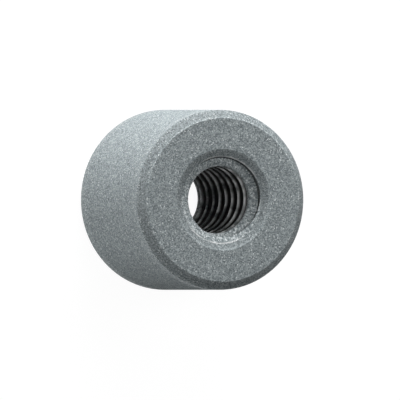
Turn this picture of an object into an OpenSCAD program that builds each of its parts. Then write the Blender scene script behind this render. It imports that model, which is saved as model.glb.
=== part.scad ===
// Cylindrical lead screw nut, turned from one bar of steel.
// A right-hand trapezoidal thread (10 mm screw, 2 mm pitch) runs through it from face to face.
// The axis is Z, the rear face stands on Z = 0 and the front face is on top.

/* [Body] */
// Outside diameter
body_d = 22; // [18:0.5:32]
// Length from face to face
body_l = 20; // [16:0.5:40]
// Chamfer on both outer rims, 45 degrees
rim_chamfer = 1; // [0.2:0.1:1.5]

/* [Thread] */
// Nominal diameter of the screw that the nut runs on
screw_d = 10; // [9:0.5:12]
// Pitch, the travel in one turn
pitch = 2; // [1.5:0.25:2.5]
// Clearance between the crest of the screw and the root of the nut's groove
crest_clearance = 0.25; // [0.15:0.05:0.3]
// How much wider the bore on the nut's crests is than the nominal diameter less one pitch
bore_allowance = 0.23; // [0.1:0.01:0.25]
// Half of the angle between the two flanks of the groove
flank_angle = 15; // [14:0.5:16]

/* [Mouths] */
// Diameter of the countersink at each face
mouth_d = 12.4; // [12:0.2:14]
// Half of the countersink's included angle
mouth_angle = 60; // [45:1:62]

/* [Hidden] */

bore_r = (screw_d - pitch + bore_allowance) / 2;
root_r = screw_d / 2 + crest_clearance;
pitch_r = (screw_d - pitch / 2) / 2;
mouth_depth = (mouth_d / 2 - bore_r) / tan(mouth_angle);

steps_per_turn = 48;
overcut = 0.4;
turns = ceil(body_l / pitch) + 2;
thread_start = -pitch;

// Half of the groove's width along the axis at radius r: half a pitch wide on the pitch line.
function groove_half(r) = pitch / 4 - (r - pitch_r) * tan(flank_angle);

// Cross-section of the groove as [radius, height] corners, anticlockwise.
groove_section = [
    [bore_r - overcut, -groove_half(bore_r - overcut)],
    [root_r, -groove_half(root_r)],
    [root_r, groove_half(root_r)],
    [bore_r - overcut, groove_half(bore_r - overcut)],
];

// The section's corners after step i of the right-hand helix.
function groove_ring(i) = let (a = 360 * i / steps_per_turn, z = thread_start + pitch * i / steps_per_turn)
    [for (c = groove_section) [c[0] * cos(a), c[0] * sin(a), z + c[1]]];

// The helical groove as one closed sweep that starts below the rear face and ends above the front one.
module thread_groove() {
    rings = turns * steps_per_turn;
    n = len(groove_section);
    points = [for (i = [0:rings]) each groove_ring(i)];
    sides = [for (i = [0:rings - 1], k = [0:n - 1]) let (a = n * i + k, b = n * i + (k + 1) % n)
        each [[a, b, b + n], [a, b + n, a + n]]];
    caps = [[for (k = [n - 1:-1:0]) k], [for (k = [0:n - 1]) n * rings + k]];
    polyhedron(points, concat(sides, caps), convexity = turns);
}

// Half section of the turned blank: bore, both countersinks, both faces and both chamfered rims.
module blank_section() {
    r = body_d / 2;
    polygon([
        [bore_r, mouth_depth],
        [mouth_d / 2, 0],
        [r - rim_chamfer, 0],
        [r, rim_chamfer],
        [r, body_l - rim_chamfer],
        [r - rim_chamfer, body_l],
        [mouth_d / 2, body_l],
        [bore_r, body_l - mouth_depth],
    ]);
}

module nut() {
    color("#7c8587")
    difference() {
        rotate_extrude($fn = 96) blank_section();
        thread_groove();
    }
}

nut();
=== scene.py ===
import math
from types import SimpleNamespace

import bpy
from mathutils import Matrix, Vector


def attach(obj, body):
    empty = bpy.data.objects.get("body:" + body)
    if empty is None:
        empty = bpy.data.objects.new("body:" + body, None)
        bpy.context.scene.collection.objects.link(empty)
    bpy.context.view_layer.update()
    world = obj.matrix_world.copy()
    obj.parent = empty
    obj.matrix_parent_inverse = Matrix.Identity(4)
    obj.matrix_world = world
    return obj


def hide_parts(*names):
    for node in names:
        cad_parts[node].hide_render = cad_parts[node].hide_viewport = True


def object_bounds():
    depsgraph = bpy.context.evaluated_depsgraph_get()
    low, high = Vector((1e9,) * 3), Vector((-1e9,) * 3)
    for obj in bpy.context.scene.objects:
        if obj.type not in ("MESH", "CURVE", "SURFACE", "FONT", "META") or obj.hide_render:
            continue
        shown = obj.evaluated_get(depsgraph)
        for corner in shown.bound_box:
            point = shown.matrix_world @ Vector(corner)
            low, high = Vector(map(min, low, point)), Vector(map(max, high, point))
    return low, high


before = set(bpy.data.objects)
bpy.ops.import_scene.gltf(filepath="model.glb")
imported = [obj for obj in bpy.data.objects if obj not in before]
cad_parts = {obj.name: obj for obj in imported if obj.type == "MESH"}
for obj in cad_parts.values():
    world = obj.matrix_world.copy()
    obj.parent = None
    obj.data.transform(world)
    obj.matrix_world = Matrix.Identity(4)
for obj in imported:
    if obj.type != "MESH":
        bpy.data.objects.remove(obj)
CAD_BOX = [list(corner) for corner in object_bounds()]

bl_info = {
    "name": "Lead Screw Nut",
    "version": (1, 0, 0),
    "blender": (4, 5, 0),
    "location": "View3D > Sidebar > Nut",
    "description": "A round steel nut for a trapezoidal lead screw, with its coat and a plain studio",
    "category": "Add Mesh",
}

MM = 0.001
NODE = "nut"
BODY = "root"
PIECE = "turned_nut"
COAT = "Phosphated steel"

# The CAD solid has flat sides, so the largest circle inside its box is a little smaller than the box.
CAD_WIDTH = 2 * min(abs(corner[axis]) for corner in CAD_BOX for axis in (0, 1))
CAD_LENGTH = CAD_BOX[1][2] - CAD_BOX[0][2]


# Properties


class NutShape(bpy.types.PropertyGroup):
    """Sizes of the turned blank, its two countersinks and the thread through it"""

    outside_diameter: bpy.props.FloatProperty(
        name="Outside Diameter", description="Width of the round body",
        default=CAD_WIDTH, min=0.001, subtype="DISTANCE", unit="LENGTH")
    length: bpy.props.FloatProperty(
        name="Length", description="Distance from the rear face to the front face",
        default=CAD_LENGTH, min=0.001, subtype="DISTANCE", unit="LENGTH")
    rim_chamfer: bpy.props.FloatProperty(
        name="Rim Chamfer", description="Leg of the 45 degree chamfer on both outer rims",
        default=1.0 * MM, min=0, subtype="DISTANCE", unit="LENGTH")
    screw_diameter: bpy.props.FloatProperty(
        name="Screw Diameter", description="Nominal diameter of the screw that the nut runs on",
        default=10.0 * MM, min=0, subtype="DISTANCE", unit="LENGTH")
    pitch: bpy.props.FloatProperty(
        name="Pitch", description="Travel in one turn of the screw",
        default=2.0 * MM, min=0.0005, subtype="DISTANCE", unit="LENGTH")
    crest_clearance: bpy.props.FloatProperty(
        name="Crest Clearance", description="Gap between the screw's crest and the root of the groove",
        default=0.25 * MM, min=0, subtype="DISTANCE", unit="LENGTH")
    bore_allowance: bpy.props.FloatProperty(
        name="Bore Allowance", description="How much wider the bore is than the screw less one pitch",
        default=0.23 * MM, min=0, subtype="DISTANCE", unit="LENGTH")
    flank_angle: bpy.props.FloatProperty(
        name="Flank Angle", description="Half of the angle between the two flanks of the groove",
        default=math.radians(15), min=0, subtype="ANGLE", unit="ROTATION")
    mouth_diameter: bpy.props.FloatProperty(
        name="Mouth Diameter", description="Width of the countersink at each face",
        default=12.4 * MM, min=0, subtype="DISTANCE", unit="LENGTH")
    mouth_angle: bpy.props.FloatProperty(
        name="Mouth Angle", description="Half of the countersink's included angle",
        default=math.radians(60), min=0, subtype="ANGLE", unit="ROTATION")
    edge_radius: bpy.props.FloatProperty(
        name="Edge Radius", description="Rounding of the outer edges under the coat",
        default=0.05 * MM, min=0, subtype="DISTANCE", unit="LENGTH")
    thread_edge_radius: bpy.props.FloatProperty(
        name="Thread Edge Radius", description="Rounding of the edges of the thread's crests",
        default=0.06 * MM, min=0, subtype="DISTANCE", unit="LENGTH")
    thread_root_radius: bpy.props.FloatProperty(
        name="Thread Root Radius", description="Hollow rounding at the bottom of the thread's groove",
        default=0.12 * MM, min=0, subtype="DISTANCE", unit="LENGTH")
    steps_around: bpy.props.IntProperty(
        name="Steps Around", description="Flat sides that make up one full turn",
        default=96, min=24, soft_max=192)
    rows_per_turn: bpy.props.IntProperty(
        name="Rows per Turn", description="Rows of faces across one turn of the thread",
        default=64, min=16, soft_max=96)


class NutCoat(bpy.types.PropertyGroup):
    """Colours, grain and wear of the grey crystalline coat, and the shade and highlights painted into it"""

    light_grey: bpy.props.FloatVectorProperty(
        name="Light Grey", description="Colour of the paler crystals",
        default=(0.438, 0.486, 0.497), min=0, max=1, subtype="COLOR", size=3)
    dark_grey: bpy.props.FloatVectorProperty(
        name="Dark Grey", description="Colour of the darker crystals",
        default=(0.145, 0.17, 0.18), min=0, max=1, subtype="COLOR", size=3)
    fleck_grey: bpy.props.FloatVectorProperty(
        name="Fleck Grey", description="Colour of the few bright crystals",
        default=(0.68, 0.72, 0.73), min=0, max=1, subtype="COLOR", size=3)
    # Painted shade: this near black is painted on the crests and in the grooves deep in the thread, and in a
    # line along the groove's root past each countersink.
    thread_shade_grey: bpy.props.FloatVectorProperty(
        name="Thread Shade Grey", description="Colour deep in the thread, where oil stays in the coat",
        default=(0.012, 0.012, 0.012), min=0, max=1, subtype="COLOR", size=3)
    # Painted highlight: this pale grey is painted on the lit rims of the flanks deep in the thread and on the
    # lip where the groove leaves each countersink.
    highlight_grey: bpy.props.FloatVectorProperty(
        name="Highlight Grey", description="Colour of the metal on rubbed flanks and lips",
        default=(0.8, 0.81, 0.81), min=0, max=1, subtype="COLOR", size=3)
    crystal_size: bpy.props.FloatProperty(
        name="Crystal Size", description="Width of one crystal of the coat",
        default=0.12 * MM, min=0.01 * MM, subtype="DISTANCE", unit="LENGTH")
    # The patches also break up the painted highlights.
    patch_size: bpy.props.FloatProperty(
        name="Patch Size", description="Size of the patches in which the wear comes and goes",
        default=1.2 * MM, min=0.01 * MM, subtype="DISTANCE", unit="LENGTH")
    facet_tilt: bpy.props.FloatProperty(
        name="Facet Tilt", description="How far each crystal leans from the surface",
        default=0.13, min=0, max=1, subtype="FACTOR")
    roughness: bpy.props.FloatProperty(
        name="Roughness", description="Roughness of the coat between the bright crystals",
        default=0.58, min=0, max=1, subtype="FACTOR")
    fleck_share: bpy.props.FloatProperty(
        name="Fleck Share", description="Share of the crystals that are bright",
        default=0.03, min=0, max=1, subtype="FACTOR")
    # More bright crystals along the faces' outer edges: wear, and a painted highlight of the edge.
    edge_wear_and_highlight: bpy.props.FloatProperty(
        name="Edge Wear and Highlight", description="How many more crystals are bright along the outer edges of the faces",
        default=0.06, min=0, max=1, subtype="FACTOR")
    # More bright crystals on the first turn in each mouth: wear, and painted light that brightens the first
    # turn where it lies in shade.
    mouth_wear_and_light: bpy.props.FloatProperty(
        name="Mouth Wear and Light", description="How many more crystals are bright on the first turn in each mouth",
        default=0.35, min=0, max=1, subtype="FACTOR")
    chatter: bpy.props.FloatProperty(
        name="Chatter", description="Strength of the streaks that the tap left across the first turn",
        default=0.4, min=0, max=1, subtype="FACTOR")
    # The places of the painted highlight are also made metallic.
    highlight_metallic: bpy.props.FloatProperty(
        name="Highlight Metallic", description="How metallic the rubbed flanks and lips are",
        default=0.38, min=0, max=1, subtype="FACTOR")
    # Painted highlight on the lip where the groove leaves each countersink, on the two sides of the nut that
    # the light falls on.
    lip_highlight: bpy.props.FloatProperty(
        name="Lip Highlight", description="How bare the edge is where the groove leaves the countersink",
        default=0.8, min=0, max=1, subtype="FACTOR")
    # Painted shade: darkens the colour of the two outer chamfers.
    rim_painted_shade: bpy.props.FloatProperty(
        name="Rim Painted Shade", description="How much darker the coat is on the two outer chamfers",
        default=0.22, min=0, max=1, subtype="FACTOR")
    # Painted shade: darkens the colour of the countersinks' cones.
    mouth_painted_shade: bpy.props.FloatProperty(
        name="Mouth Painted Shade", description="How much darker the coat is on the cones of the two countersinks",
        default=0.19, min=0, max=1, subtype="FACTOR")


class NutStudio(bpy.types.PropertyGroup):
    """Lamps, room light and camera"""

    view_tilt: bpy.props.FloatProperty(
        name="View Tilt", description="Angle between the camera's line of sight and the nut's axis",
        default=math.radians(22.2), subtype="ANGLE", unit="ROTATION")
    view_turn: bpy.props.FloatProperty(
        name="View Turn", description="Turn of the camera round the nut's axis",
        default=math.radians(5), subtype="ANGLE", unit="ROTATION")
    view_width: bpy.props.FloatProperty(
        name="View Width", description="Width of the scene that the camera takes in",
        default=48.84 * MM, min=0.001, subtype="DISTANCE", unit="LENGTH")
    top_power: bpy.props.FloatProperty(
        name="Top Power", description="Power of the main lamp, above the nut as the camera sees it",
        default=0.7, min=0, subtype="POWER", unit="POWER")
    side_power: bpy.props.FloatProperty(
        name="Side Power", description="Power of the lamp beside the nut, on the camera's side",
        default=0.213, min=0, subtype="POWER", unit="POWER")
    front_power: bpy.props.FloatProperty(
        name="Front Power", description="Power of the lamp in front of the nut and across from the side lamp",
        default=0.14, min=0, subtype="POWER", unit="POWER")
    face_power: bpy.props.FloatProperty(
        name="Face Power", description="Power of the narrow lamp that shines straight down the bore",
        default=0.055, min=0, subtype="POWER", unit="POWER")
    room_light: bpy.props.FloatProperty(
        name="Room Light", description="Strength of the even light from all round",
        default=0.02, min=0)


# Node trees


EDITOR_GRID = (220, -190)
EDITOR_ROWS = 6


class NodeSheet:
    """Adds nodes to one tree. An input that is given a socket is linked to it, and any other value is set."""

    def __init__(self, tree):
        self.tree = tree
        self.count = 0

    def add(self, kind, settings=None, **inputs):
        """A new node with its settings, and with values for its inputs by name."""
        node = self.tree.nodes.new(kind)
        column, row = divmod(self.count, EDITOR_ROWS)
        node.location = (EDITOR_GRID[0] * column, EDITOR_GRID[1] * row)
        self.count += 1
        for name, value in (settings or {}).items():
            setattr(node, name, value)
        for name, value in inputs.items():
            self.feed(node.inputs[name.replace("_", " ")], value)
        return node

    def feed(self, socket, value):
        if isinstance(value, bpy.types.NodeSocket):
            self.tree.links.new(value, socket)
        else:
            socket.default_value = value

    def feed_all(self, sockets, values):
        for socket, value in zip(sockets, values):
            self.feed(socket, value)

    def math(self, operation, *values, clamp=False):
        node = self.add("ShaderNodeMath", {"operation": operation, "use_clamp": clamp})
        self.feed_all(node.inputs, values)
        return node.outputs[0]

    def whole(self, operation, *values):
        """Maths on whole numbers."""
        node = self.add("FunctionNodeIntegerMath", {"operation": operation})
        self.feed_all(node.inputs, values)
        return node.outputs[0]

    def product(self, first, *others):
        for other in others:
            first = self.math("MULTIPLY", first, other)
        return first

    def half(self, value):
        return self.math("MULTIPLY", value, 0.5)

    def minus(self, value):
        return self.math("MULTIPLY", value, -1)

    def vector(self, operation, *values):
        node = self.add("ShaderNodeVectorMath", {"operation": operation})
        self.feed_all(node.inputs, values)
        return node.outputs[0]

    def scale(self, vector, factor):
        node = self.add("ShaderNodeVectorMath", {"operation": "SCALE"}, Vector=vector, Scale=factor)
        return node.outputs[0]

    def combine(self, x, y, z):
        return self.add("ShaderNodeCombineXYZ", X=x, Y=y, Z=z).outputs[0]

    def mix_numbers(self, factor, below, above):
        node = self.add("ShaderNodeMix", {"data_type": "FLOAT"})
        self.feed_all((node.inputs[0], node.inputs[2], node.inputs[3]), (factor, below, above))
        return node.outputs[0]

    def mix_colours(self, factor, below, above, blend="MIX"):
        node = self.add("ShaderNodeMix", {"data_type": "RGBA", "blend_type": blend})
        self.feed_all((node.inputs[0], node.inputs[6], node.inputs[7]), (factor, below, above))
        return node.outputs[2]


def new_tree(name, kind, inputs, outputs):
    """A node tree with named inputs (name, type, default, subtype) and outputs (name, type)."""
    tree = bpy.data.node_groups.new(name, kind)
    for label, socket_type, default, subtype in inputs:
        socket = tree.interface.new_socket(label, in_out="INPUT", socket_type=socket_type)
        if subtype:
            socket.subtype = subtype
        if default is not None:
            socket.default_value = default
    for label, socket_type in outputs:
        tree.interface.new_socket(label, in_out="OUTPUT", socket_type=socket_type)
    return tree


# Nut


SHAPE_INPUTS = (
    ("Outside Diameter", "outside_diameter"),
    ("Length", "length"),
    ("Rim Chamfer", "rim_chamfer"),
    ("Screw Diameter", "screw_diameter"),
    ("Pitch", "pitch"),
    ("Crest Clearance", "crest_clearance"),
    ("Bore Allowance", "bore_allowance"),
    ("Flank Angle", "flank_angle"),
    ("Mouth Diameter", "mouth_diameter"),
    ("Mouth Angle", "mouth_angle"),
    ("Edge Radius", "edge_radius"),
    ("Thread Edge Radius", "thread_edge_radius"),
    ("Thread Root Radius", "thread_root_radius"),
    ("Steps Around", "steps_around"),
    ("Rows per Turn", "rows_per_turn"),
)
# Depth below each face at which the turned outside meets the helical inside.
MOUTH_LIP = 0.1 * MM
MERGE_DISTANCE = 0.002 * MM
EDGE_STEPS = 4
THREAD_STEPS = 5
# Corners 2 and 3 of the groove's section are the ones at its root: those within 0.6 of 2.5.
ROOT_CORNERS = (2.5, 0.6)
# Half of the groove's width at the pitch radius, as a share of the pitch.
GROOVE_SHARE = 0.25
# Turns of thread past the nut's length, one at each end, where the lips hold the sheet flat.
SPARE_TURNS = 2


def corner_line(sheet, corners):
    """An open line through (radius, height) corners, which are sockets or plain numbers."""
    pick = sheet.add("GeometryNodeIndexSwitch", {"data_type": "VECTOR"})
    while len(pick.index_switch_items) < len(corners):
        pick.index_switch_items.new()
    sheet.feed(pick.inputs["Index"], sheet.add("GeometryNodeInputIndex").outputs[0])
    for number, (radius, height) in enumerate(corners):
        sheet.feed(pick.inputs[1 + number], sheet.combine(radius, 0, height))
    line = sheet.add("GeometryNodeMeshLine", Count=len(corners)).outputs[0]
    curve = sheet.add("GeometryNodeMeshToCurve", Mesh=line).outputs[0]
    return sheet.add("GeometryNodeSetPosition", Geometry=curve, Position=pick.outputs[0]).outputs[0]


def rounded(sheet, curve, radius, steps):
    """The curve with its corners rounded, each in a few steps."""
    node = sheet.add("GeometryNodeFilletCurve", {"mode": "POLY"}, Curve=curve, Count=steps, Radius=radius)
    node.inputs["Limit Radius"].default_value = True
    return node.outputs[0]


def swept_sheet(sheet, curve, columns, column_angle, place):
    """A sheet of faces whose rows are the curve's points and whose columns go round the axis."""
    rows = sheet.add("GeometryNodeAttributeDomainSize", {"component": "CURVE"}, Geometry=curve).outputs[0]
    across = sheet.whole("ADD", columns, 1)
    grid = sheet.add("GeometryNodeMeshGrid", Vertices_X=across, Vertices_Y=rows).outputs[0]
    index = sheet.add("GeometryNodeInputIndex").outputs[0]
    column = sheet.whole("DIVIDE_FLOOR", index, rows)
    row = sheet.whole("MODULO", index, rows)
    sample = sheet.add("GeometryNodeSampleIndex", {"data_type": "FLOAT_VECTOR", "domain": "POINT"},
                       Geometry=curve, Value=sheet.add("GeometryNodeInputPosition").outputs[0], Index=row)
    spot = sheet.add("ShaderNodeSeparateXYZ", Vector=sample.outputs[0]).outputs
    turn = sheet.product(column, column_angle)
    radius, height = place(turn, spot["X"], spot["Z"])
    position = sheet.combine(sheet.product(radius, sheet.math("COSINE", turn)),
                             sheet.product(radius, sheet.math("SINE", turn)), height)
    return sheet.add("GeometryNodeSetPosition", Geometry=grid, Position=position).outputs[0]


def outside_sheet(sheet, size, nut):
    """The turned outside, from the front mouth over both faces and the round side to the rear mouth."""
    length = size["Length"]
    chamfer = size["Rim Chamfer"]
    lip_r = sheet.math("SUBTRACT", nut.mouth_r, sheet.product(nut.mouth_slope, MOUTH_LIP))
    face_r = sheet.math("SUBTRACT", nut.body_r, chamfer)
    shoulder = sheet.math("SUBTRACT", length, chamfer)
    outline = corner_line(sheet, [
        (lip_r, nut.top_lip),
        (nut.mouth_r, length),
        (face_r, length),
        (nut.body_r, shoulder),
        (nut.body_r, chamfer),
        (face_r, 0),
        (nut.mouth_r, 0),
        (lip_r, MOUTH_LIP),
    ])
    outline = rounded(sheet, outline, size["Edge Radius"], EDGE_STEPS)

    def place(turn, radius, height):
        return radius, height

    return swept_sheet(sheet, outline, nut.steps, nut.step_angle, place)


def groove_half(sheet, size, nut, radius):
    """Half of the groove's width at a radius, which shrinks towards the root by the flanks' slope."""
    narrowing = sheet.product(sheet.math("SUBTRACT", radius, nut.pitch_r), nut.flank_slope)
    return sheet.math("SUBTRACT", sheet.product(size["Pitch"], GROOVE_SHARE), narrowing)


def inside_sheet(sheet, size, nut):
    """The helical thread as one long sheet, which widens to the cones of the two countersinks."""
    length = size["Length"]
    pitch = size["Pitch"]
    edge = size["Thread Edge Radius"]
    crest_half = groove_half(sheet, size, nut, nut.bore_r)
    root_half = groove_half(sheet, size, nut, nut.root_r)
    section = corner_line(sheet, [
        (nut.bore_r, sheet.minus(sheet.half(pitch))),
        (nut.bore_r, sheet.minus(crest_half)),
        (nut.root_r, sheet.minus(root_half)),
        (nut.root_r, root_half),
        (nut.bore_r, crest_half),
        (nut.bore_r, sheet.half(pitch)),
    ])
    at_root = sheet.math("COMPARE", sheet.add("GeometryNodeInputIndex").outputs[0], *ROOT_CORNERS)
    wider = sheet.math("SUBTRACT", size["Thread Root Radius"], edge)
    section = rounded(sheet, section, sheet.math("ADD", edge, sheet.product(at_root, wider)), THREAD_STEPS)
    section = sheet.add("GeometryNodeResampleCurve", {"mode": "COUNT"}, Curve=section,
                        Count=sheet.whole("ADD", size["Rows per Turn"], 1)).outputs[0]
    turns = sheet.math("ADD", sheet.math("CEIL", sheet.math("DIVIDE", length, pitch)), SPARE_TURNS)

    def place(turn, radius, rise):
        climb = sheet.product(pitch, sheet.math("SUBTRACT", sheet.math("DIVIDE", turn, math.tau), 1))
        height = sheet.math("MAXIMUM", sheet.math("ADD", climb, rise), MOUTH_LIP)
        height = sheet.math("MINIMUM", height, nut.top_lip)
        depth = sheet.math("MINIMUM", height, sheet.math("SUBTRACT", length, height))
        cone = sheet.math("SUBTRACT", nut.mouth_r, sheet.product(depth, nut.mouth_slope))
        return sheet.math("SMOOTH_MAX", radius, cone, edge), height

    return swept_sheet(sheet, section, sheet.whole("MULTIPLY", turns, nut.steps), nut.step_angle, place)


def nut_tree(shape):
    """The whole nut as one closed skin: a turned outside, and a helical sheet for its thread and mouths."""
    inputs = []
    for label, name in SHAPE_INPUTS:
        value = getattr(shape, name)
        if isinstance(value, int):
            inputs.append((label, "NodeSocketInt", value, None))
        else:
            inputs.append((label, "NodeSocketFloat", value, "ANGLE" if "Angle" in label else "DISTANCE"))
    inputs.append(("Coat", "NodeSocketMaterial", None, None))
    tree = new_tree("Turned nut", "GeometryNodeTree", inputs, [("Geometry", "NodeSocketGeometry")])
    sheet = NodeSheet(tree)
    size = sheet.add("NodeGroupInput").outputs
    screw = size["Screw Diameter"]
    pitch = size["Pitch"]
    bore = sheet.math("ADD", sheet.math("SUBTRACT", screw, pitch), size["Bore Allowance"])
    nut = SimpleNamespace(
        body_r=sheet.half(size["Outside Diameter"]),
        mouth_r=sheet.half(size["Mouth Diameter"]),
        mouth_slope=sheet.math("TANGENT", size["Mouth Angle"]),
        bore_r=sheet.half(bore),
        root_r=sheet.math("ADD", sheet.half(screw), size["Crest Clearance"]),
        pitch_r=sheet.half(sheet.math("SUBTRACT", screw, sheet.half(pitch))),
        flank_slope=sheet.math("TANGENT", size["Flank Angle"]),
        top_lip=sheet.math("SUBTRACT", size["Length"], MOUTH_LIP),
        steps=size["Steps Around"],
        step_angle=sheet.math("DIVIDE", math.tau, size["Steps Around"]),
    )
    both = sheet.add("GeometryNodeJoinGeometry")
    tree.links.new(outside_sheet(sheet, size, nut), both.inputs[0])
    tree.links.new(inside_sheet(sheet, size, nut), both.inputs[0])
    skin = both.outputs[0]
    skin = sheet.add("GeometryNodeMergeByDistance", Geometry=skin, Distance=MERGE_DISTANCE).outputs[0]
    skin = sheet.add("GeometryNodeFlipFaces", Mesh=skin).outputs[0]
    skin = sheet.add("GeometryNodeSetShadeSmooth", Geometry=skin, Shade_Smooth=True).outputs[0]
    skin = sheet.add("GeometryNodeRealizeInstances", Geometry=skin).outputs[0]
    skin = sheet.add("GeometryNodeSetMaterial", Geometry=skin, Material=size["Coat"]).outputs[0]
    tree.links.new(skin, sheet.add("NodeGroupOutput").inputs[0])
    return tree


def plain_object(name, maker):
    """The result of an object's modifiers as a new object with a plain mesh. The old object is removed."""
    bpy.context.view_layer.update()
    evaluated = maker.evaluated_get(bpy.context.evaluated_depsgraph_get())
    mesh = bpy.data.meshes.new_from_object(evaluated)
    bpy.data.objects.remove(maker)
    mesh.name = name
    piece = bpy.data.objects.new(name, mesh)
    bpy.context.scene.collection.objects.link(piece)
    return piece


class NUT_OT_turn_body(bpy.types.Operator):
    """Make the nut with its thread, countersinks and rounded rims in place of the plain frame part"""

    bl_idname = "nut.turn_body"
    bl_label = "Turn Nut"

    def execute(self, context):
        coat = bpy.data.materials.get(COAT)
        if coat is None:
            raise RuntimeError("mix the coat before the nut is made")
        shape = context.scene.nut_shape
        maker = bpy.data.objects.new("nut_maker", bpy.data.meshes.new("nut_maker"))
        context.scene.collection.objects.link(maker)
        modifier = maker.modifiers.new("Turned nut", "NODES")
        modifier.node_group = nut_tree(shape)
        values = {label: getattr(shape, name) for label, name in SHAPE_INPUTS}
        values["Coat"] = coat
        for item in modifier.node_group.interface.items_tree:
            if item.in_out == "INPUT":
                modifier[item.identifier] = values[item.name]
        weighted = maker.modifiers.new("Flat faces stay flat", "WEIGHTED_NORMAL")
        weighted.mode = "FACE_AREA"
        weighted.keep_sharp = True
        piece = plain_object(PIECE, maker)
        if not piece.data.polygons:
            raise RuntimeError("the node tree gave no faces")
        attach(piece, BODY)
        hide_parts(NODE)
        return {"FINISHED"}


# Coat


# Each fade is (millimetres, strength) at its start and at its end.
# From the bore's radius outwards:
# Painted shade covers the crests deep in the bore up to here.
CREST_TOP = ((0.01, 1), (0.05, 0))
# Painted highlight on the flanks' rims starts here.
FLANK_HIGHLIGHT = ((0.03, 0), (0.07, 1))
# Painted shade fills the groove's hollows from here outwards.
GROOVE_HOLLOW = ((0.2, 0), (0.45, 1))
# From the radius of the groove's root outwards:
# Painted shade: a dark line along the groove's root.
GROOVE_BOTTOM = ((-0.17, 0), (-0.09, 1))
GROOVE_WALLS = ((-0.06, 1), (0, 0))
# The lip with its painted highlight lies between these two.
LIP_INNER = ((-0.01, 0), (0.01, 1))
LIP_OUTER = ((0.1, 1), (0.14, 0))
WITHIN_THREAD = ((0.1, 1), (0.3, 0))
CONE_OUTER = ((0.9, 1), (1.0, 0))
# From the inner edge of the rim's chamfer outwards, and to both sides of it:
# Painted shade on the outer chamfer starts this far out.
CHAMFER_INNER = ((0.06, 0), (0.16, 1))
# The band of wear and painted highlight along the faces' outer edges.
EDGE_BAND = ((0.04, 1), (0.14, 0))
# From the nearer face inwards:
# Painted shade on the countersink's cone starts at this depth.
CONE_START = ((0.1, 0), (0.16, 1))
EDGE_DEPTH = ((0.1, 1), (0.2, 0))
FIRST_TURN = ((2.0, 1), (2.6, 0))
DEEP_TURNS = ((1.9, 0), (2.8, 1))
# From the depth at which the countersink's cone reaches the groove's root inwards:
CONE_DEPTH = ((0, 1), (0.05, 0))
# The painted shade line along the groove's root begins past this depth.
SHADE_LINE_DEPTH = ((0.06, 0), (0.12, 1))
# From the depth at which the rim's chamfer ends inwards:
CHAMFER_DEPTH = ((-0.2, 1), (0.15, 0))

# Each of these is (value, strength) at both ends of a ramp. The value is the streak noise, the patch noise
# or, for the lip, a wave that is 1 on two opposite sides of the nut and -1 between them.
STREAK_FLECKS = ((0.5, 0.05), (0.6, 1))
STREAK_TONE = ((0.4, -0.3), (0.52, 0.9))
PATCH_EDGE = ((0.3, 0.2), (0.6, 1))
# Patches in which the painted highlight comes and goes.
PATCH_HIGHLIGHT = ((0.38, 0.4), (0.58, 1))
# Painted highlight on the lip, on the two sides where light falls on it.
LIP_SIDES = ((-0.2, 0), (0.5, 1))

# Twice the turn round the nut at which the lip's painted highlight is strongest.
LIP_TURN = math.radians(160)
# How dark the painted shade line along the groove's root is.
SHADE_LINE_STRENGTH = 0.85
STREAKS_PER_RADIAN = 16
STREAK_LENGTH = 0.4 * MM
# How much smoother than the rest of the coat the bright crystals and the metal under the painted highlight
# are.
FLECK_POLISH = 0.25
HIGHLIGHT_POLISH = 0.5
COAT_SPECULAR = 0.1
BLACK = (0, 0, 0, 1)


def crystal_group(look):
    """Facets of a crystalline coat: a tone for each one, a mask of the bright ones and a leaning normal."""
    tree = new_tree("Crystal facets", "ShaderNodeTree", [
        ("Vector", "NodeSocketVector", None, None),
        ("Crystal Size", "NodeSocketFloat", look.crystal_size, "DISTANCE"),
        ("Facet Tilt", "NodeSocketFloat", look.facet_tilt, "FACTOR"),
        ("Bright Share", "NodeSocketFloat", look.fleck_share, "FACTOR"),
    ], [("Tone", "NodeSocketFloat"), ("Bright", "NodeSocketFloat"), ("Normal", "NodeSocketVector")])
    sheet = NodeSheet(tree)
    given = sheet.add("NodeGroupInput").outputs
    scaled = sheet.scale(given["Vector"], sheet.math("DIVIDE", 1, given["Crystal Size"]))
    cells = sheet.add("ShaderNodeTexVoronoi", {"voronoi_dimensions": "3D", "feature": "F1"},
                      Vector=scaled, Scale=1.0, Randomness=1.0).outputs
    lean = sheet.vector("SUBTRACT", cells["Color"], (0.5, 0.5, 0.5))
    lean = sheet.scale(lean, sheet.product(given["Facet Tilt"], 2))
    normal = sheet.vector("ADD", sheet.add("ShaderNodeNewGeometry").outputs["Normal"], lean)
    chance = sheet.add("ShaderNodeTexWhiteNoise", {"noise_dimensions": "3D"}, Vector=cells["Position"])
    parts = sheet.add("ShaderNodeSeparateColor", Color=chance.outputs["Color"]).outputs
    bright = sheet.math("GREATER_THAN", parts["Green"], sheet.math("SUBTRACT", 1, given["Bright Share"]))
    sheet.add("NodeGroupOutput", Tone=parts["Red"], Bright=bright, Normal=sheet.vector("NORMALIZE", normal))
    return tree


def ramp(sheet, value, ends, origin=0, unit=1):
    """A straight ramp between two (value, result) points, held flat outside them."""
    (start, first), (end, last) = ends
    node = sheet.add("ShaderNodeMapRange", {"clamp": True}, Value=value)
    sheet.feed_all(list(node.inputs)[1:5], (origin + start * unit, origin + end * unit, first, last))
    return node.outputs[0]


def soft_noise(sheet, vector, scale):
    """Slow random values, with one finer layer over them."""
    node = sheet.add("ShaderNodeTexNoise", {"noise_dimensions": "3D"}, Vector=vector, Scale=scale, Detail=1.0)
    return node.outputs[0]


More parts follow.
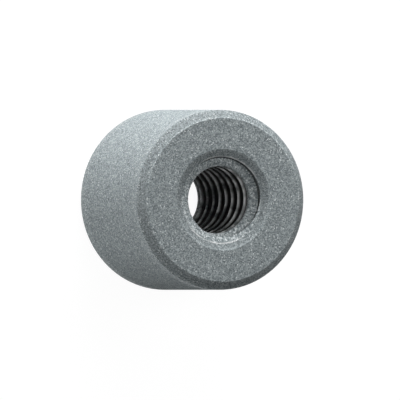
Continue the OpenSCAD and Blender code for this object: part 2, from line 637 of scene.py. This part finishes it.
def nut_zones(sheet, place, shape):
    """Masks that say where on the nut each finish, painted shade and painted highlight lies, from the
    distances to its axis and its faces.
    """
    flat = sheet.vector("MULTIPLY", place, (1, 1, 0))
    radius = sheet.add("ShaderNodeVectorMath", {"operation": "LENGTH"}, Vector=flat).outputs["Value"]
    spot = sheet.add("ShaderNodeSeparateXYZ", Vector=place).outputs
    angle = sheet.math("ARCTAN2", spot["Y"], spot["X"])
    depth = sheet.math("MINIMUM", spot["Z"], sheet.math("SUBTRACT", shape.length, spot["Z"]))
    bore_r = (shape.screw_diameter - shape.pitch + shape.bore_allowance) / 2
    root_r = shape.screw_diameter / 2 + shape.crest_clearance
    rim_r = shape.outside_diameter / 2 - shape.rim_chamfer
    cone_end = (shape.mouth_diameter / 2 - root_r) / math.tan(shape.mouth_angle)

    def out_from(origin, fade):
        return ramp(sheet, radius, fade, origin, MM)

    def in_from(origin, fade):
        return ramp(sheet, depth, fade, origin, MM)

    deep = in_from(0, DEEP_TURNS)
    within = out_from(root_r, WITHIN_THREAD)
    on_cone = in_from(cone_end, CONE_DEPTH)
    # Painted shade: the crests and hollows deep in the bore, and a line along the groove's root past the
    # countersink.
    groove = sheet.math("MAXIMUM", out_from(bore_r, CREST_TOP), out_from(bore_r, GROOVE_HOLLOW))
    bottom = sheet.product(out_from(root_r, GROOVE_BOTTOM), in_from(cone_end, SHADE_LINE_DEPTH))
    groove_shade = sheet.math("MAXIMUM", sheet.product(groove, deep), sheet.product(bottom, SHADE_LINE_STRENGTH))
    two_sides = sheet.math("COSINE", sheet.math("SUBTRACT", sheet.product(angle, 2), LIP_TURN))
    off_edge = sheet.math("ABSOLUTE", sheet.math("SUBTRACT", radius, rim_r))
    return SimpleNamespace(
        deep=deep,
        groove_shade=sheet.product(groove_shade, within),
        # Painted highlight on the flanks' rims deep in the thread.
        flanks=sheet.product(out_from(bore_r, FLANK_HIGHLIGHT), deep, within),
        # Painted highlight on the lip where the groove leaves the countersink, on two sides of the nut.
        lip=sheet.product(out_from(root_r, LIP_INNER), out_from(root_r, LIP_OUTER), on_cone,
                          ramp(sheet, two_sides, LIP_SIDES)),
        # Painted shade on the countersinks' cones.
        mouth=sheet.product(on_cone, in_from(0, CONE_START), out_from(root_r, CONE_OUTER)),
        # Painted shade on the two outer chamfers.
        rim=sheet.product(out_from(rim_r, CHAMFER_INNER), in_from(shape.rim_chamfer, CHAMFER_DEPTH)),
        # Wear and painted highlight along the faces' outer edges.
        edge=sheet.product(ramp(sheet, off_edge, EDGE_BAND, unit=MM), in_from(0, EDGE_DEPTH)),
        # The first turn in each mouth, with its extra bright crystals (wear and painted light) and the tap's
        # streaks.
        first_turn=sheet.product(out_from(root_r, GROOVE_WALLS), in_from(0, FIRST_TURN)),
        streaks=sheet.combine(sheet.product(angle, STREAKS_PER_RADIAN),
                              sheet.math("DIVIDE", radius, STREAK_LENGTH),
                              sheet.math("DIVIDE", depth, STREAK_LENGTH)),
    )


class NUT_OT_mix_coat(bpy.types.Operator):
    """Make the material for the grey crystalline coat, with painted shade in the thread, on the outer
    chamfers and on the countersinks' cones, and painted highlights in the thread and at the edges
    """

    bl_idname = "nut.mix_coat"
    bl_label = "Mix Coat"

    def execute(self, context):
        look = context.scene.nut_coat
        material = bpy.data.materials.new(COAT)
        material.use_nodes = True
        material.node_tree.nodes.clear()
        sheet = NodeSheet(material.node_tree)
        place = sheet.add("ShaderNodeTexCoord").outputs["Object"]
        zone = nut_zones(sheet, place, context.scene.nut_shape)
        streak = soft_noise(sheet, zone.streaks, 1.0)
        patch = soft_noise(sheet, place, 1 / look.patch_size)

        # Wear and painted highlight along the faces' outer edges, as more bright crystals.
        edge_highlight_and_wear = sheet.product(ramp(sheet, patch, PATCH_EDGE), look.edge_wear_and_highlight, zone.edge)
        # Wear and painted light on the first turn, as more bright crystals.
        turn_wear_and_light = sheet.product(zone.first_turn, ramp(sheet, streak, STREAK_FLECKS), look.mouth_wear_and_light)
        share = sheet.math("ADD", look.fleck_share, sheet.math("MAXIMUM", edge_highlight_and_wear, turn_wear_and_light))
        crystals = sheet.add("ShaderNodeGroup", {"node_tree": crystal_group(look)}, Vector=place,
                             Crystal_Size=look.crystal_size, Facet_Tilt=look.facet_tilt,
                             Bright_Share=share).outputs
        # Painted highlight: the lit rims of the flanks and the lip, which are also made metallic and
        # smoother.
        highlighted = sheet.math("MAXIMUM", zone.flanks, sheet.product(zone.lip, look.lip_highlight))
        highlighted = sheet.product(highlighted, ramp(sheet, patch, PATCH_HIGHLIGHT))
        # Painted shade on the outer chamfers and on the countersinks' cones.
        shade = sheet.math("MAXIMUM", sheet.product(zone.rim, look.rim_painted_shade),
                           sheet.product(zone.mouth, look.mouth_painted_shade))

        tone = sheet.mix_numbers(sheet.product(zone.first_turn, look.chatter), crystals["Tone"],
                                 ramp(sheet, streak, STREAK_TONE))
        colour = sheet.mix_colours(tone, (*look.dark_grey, 1), (*look.light_grey, 1))
        colour = sheet.mix_colours(crystals["Bright"], colour, (*look.fleck_grey, 1))
        # Painted highlight in pale grey.
        colour = sheet.mix_colours(highlighted, colour, (*look.highlight_grey, 1))
        # Painted shade darkens the colour here.
        colour = sheet.mix_colours(shade, colour, BLACK, blend="MULTIPLY")
        # Painted shade in the thread, near black.
        colour = sheet.mix_colours(zone.groove_shade, colour, (*look.thread_shade_grey, 1))

        rough = sheet.math("SUBTRACT", look.roughness, sheet.product(crystals["Bright"], FLECK_POLISH))
        rough = sheet.math("MAXIMUM", rough, zone.deep)
        rough = sheet.math("SUBTRACT", rough, sheet.product(highlighted, HIGHLIGHT_POLISH))
        steel = sheet.add("ShaderNodeBsdfPrincipled", Base_Color=colour, Roughness=rough,
                          Metallic=sheet.product(highlighted, look.highlight_metallic), Specular_IOR_Level=COAT_SPECULAR,
                          Normal=crystals["Normal"])
        sheet.add("ShaderNodeOutputMaterial", Surface=steel.outputs[0])
        return {"FINISHED"}


# Stage


LAMP_DISTANCE = 0.2
WIDE_LAMP = 0.16
NARROW_LAMP = 0.06
# Each lamp's way from the nut, as parts up the view, to the camera's side and along the axis, and its width.
LAMPS = (
    ("top", (1.0, 0.0, 0.15), WIDE_LAMP),
    ("side", (0.0, 1.0, 0.15), WIDE_LAMP),
    ("front", (0.5, -0.87, 0.8), WIDE_LAMP),
    ("face", (0.0, 0.05, 1.0), NARROW_LAMP),
)
WHITE = (1, 1, 1, 1)
FLOOR_REACH = 1.5
FLOOR_TONE = 0.78
# Seen directly, the floor glows white, and only the rest of its own tone still shows the nut's shadow.
FLOOR_GLOW = 0.95
GLOW_COVERS = 0.85
VIEW_PIXELS = 400
# Where the middle of the front face lies from the middle of the view, in pixels to the right and up.
FACE_RIGHT = 23.1
FACE_UP = 0.2
CAMERA_DISTANCE = 0.4
CLIP_START = 0.01
CLIP_END = 10


def view_axes(studio):
    """Unit vectors of the camera's view: to the right, up, and from the nut to the camera."""
    tilt = studio.view_tilt
    turn = studio.view_turn
    toward = Vector((math.sin(tilt) * math.cos(turn), math.sin(tilt) * math.sin(turn), math.cos(tilt)))
    axis = Vector((0, 0, 1))
    right = (axis - toward * axis.dot(toward)).normalized()
    return right, toward.cross(right).normalized(), toward


def seen_directly(sheet):
    """1 for rays from the camera, mirrored ones and ones through glass, 0 for light that falls on the nut."""
    path = sheet.add("ShaderNodeLightPath").outputs
    total = sheet.math("ADD", path["Is Camera Ray"], path["Is Glossy Ray"])
    return sheet.math("ADD", total, path["Is Transmission Ray"], clamp=True)


def even_room(room_light):
    """A world that is white to look at and gives only a little light."""
    world = bpy.data.worlds.new("Even room")
    world.use_nodes = True
    world.node_tree.nodes.clear()
    sheet = NodeSheet(world.node_tree)
    strength = sheet.math("ADD", sheet.product(seen_directly(sheet), 1 - room_light), room_light)
    sky = sheet.add("ShaderNodeBackground", Color=WHITE, Strength=strength)
    sheet.add("ShaderNodeOutputWorld", Surface=sky.outputs[0])
    return world


def floor_material():
    """A matt pale floor that glows white where it is seen directly."""
    material = bpy.data.materials.new("White floor")
    material.use_nodes = True
    material.node_tree.nodes.clear()
    sheet = NodeSheet(material.node_tree)
    direct = seen_directly(sheet)
    tone = sheet.product(sheet.math("SUBTRACT", 1, sheet.product(direct, GLOW_COVERS)), FLOOR_TONE)
    matt = sheet.add("ShaderNodeBsdfDiffuse", Color=sheet.combine(tone, tone, tone))
    glow = sheet.add("ShaderNodeEmission", Color=WHITE, Strength=sheet.product(direct, FLOOR_GLOW))
    both = sheet.add("ShaderNodeAddShader")
    sheet.feed_all(both.inputs, (matt.outputs[0], glow.outputs[0]))
    sheet.add("ShaderNodeOutputMaterial", Surface=both.outputs[0])
    return material


def lay_floor(scene):
    """The wide flat floor that the nut stands on."""
    mesh = bpy.data.meshes.new("floor")
    corners = [(x * FLOOR_REACH, y * FLOOR_REACH, 0) for x, y in ((-1, -1), (1, -1), (1, 1), (-1, 1))]
    mesh.from_pydata(corners, [], [(0, 1, 2, 3)])
    mesh.materials.append(floor_material())
    floor = bpy.data.objects.new("floor", mesh)
    scene.collection.objects.link(floor)


def hang_lamp(scene, name, power, width, place, aim):
    """A round soft lamp that points at a spot."""
    light = bpy.data.lights.new(name, "AREA")
    light.shape = "DISK"
    light.size = width
    light.energy = power
    item = bpy.data.objects.new(name, light)
    scene.collection.objects.link(item)
    item.location = place
    item.rotation_euler = (aim - place).to_track_quat("-Z", "Y").to_euler()


def place_camera(scene):
    """A camera without perspective, placed by where the front face lies in its view."""
    studio = scene.nut_studio
    right, up, toward = view_axes(studio)
    camera = bpy.data.cameras.new("camera")
    camera.type = "ORTHO"
    camera.ortho_scale = studio.view_width
    camera.clip_start = CLIP_START
    camera.clip_end = CLIP_END
    eye = bpy.data.objects.new("camera", camera)
    scene.collection.objects.link(eye)
    pixel = studio.view_width / VIEW_PIXELS
    face = Vector((0, 0, scene.nut_shape.length))
    target = face - right * (FACE_RIGHT * pixel) - up * (FACE_UP * pixel)
    place = Matrix((right, up, toward)).transposed().to_4x4()
    place.translation = target + toward * CAMERA_DISTANCE
    eye.matrix_world = place
    scene.camera = eye


class NUT_OT_set_stage(bpy.types.Operator):
    """Set up the pale floor, the even room light, the lamps and the camera"""

    bl_idname = "nut.set_stage"
    bl_label = "Set Stage"

    def execute(self, context):
        scene = context.scene
        studio = scene.nut_studio
        scene.view_settings.view_transform = "Standard"
        scene.world = even_room(studio.room_light)
        lay_floor(scene)
        up, toward = view_axes(studio)[1:]
        middle = Vector((0, 0, scene.nut_shape.length / 2))
        side = Vector((toward.x, toward.y, 0)).normalized()
        for name, (rise, out, along), width in LAMPS:
            way = (up * rise + side * out + Vector((0, 0, along))).normalized()
            power = getattr(studio, name + "_power")
            hang_lamp(scene, name + " lamp", power, width, middle + way * LAMP_DISTANCE, middle)
        place_camera(scene)
        return {"FINISHED"}


# Panel


class NUT_PT_sidebar(bpy.types.Panel):
    """Lists the steps and the sizes of the nut"""

    bl_idname = "NUT_PT_sidebar"
    bl_label = "Lead Screw Nut"
    bl_space_type = "VIEW_3D"
    bl_region_type = "UI"
    bl_category = "Nut"

    def draw(self, context):
        scene = context.scene
        steps = ((scene.nut_coat, "nut.mix_coat"), (scene.nut_shape, "nut.turn_body"),
                 (scene.nut_studio, "nut.set_stage"))
        for settings, step in steps:
            box = self.layout.box()
            for name in settings.bl_rna.properties.keys():
                if name not in {"name", "rna_type"}:
                    box.prop(settings, name)
            box.operator(step)


CLASSES = (NutShape, NutCoat, NutStudio, NUT_OT_mix_coat, NUT_OT_turn_body, NUT_OT_set_stage, NUT_PT_sidebar)


def register():
    for cls in CLASSES:
        bpy.utils.register_class(cls)
    bpy.types.Scene.nut_shape = bpy.props.PointerProperty(type=NutShape)
    bpy.types.Scene.nut_coat = bpy.props.PointerProperty(type=NutCoat)
    bpy.types.Scene.nut_studio = bpy.props.PointerProperty(type=NutStudio)


def unregister():
    del bpy.types.Scene.nut_studio
    del bpy.types.Scene.nut_coat
    del bpy.types.Scene.nut_shape
    for cls in reversed(CLASSES):
        bpy.utils.unregister_class(cls)


def main():
    register()
    bpy.ops.nut.mix_coat()
    bpy.ops.nut.turn_body()
    bpy.ops.nut.set_stage()


if __name__ == "__main__":
    main()
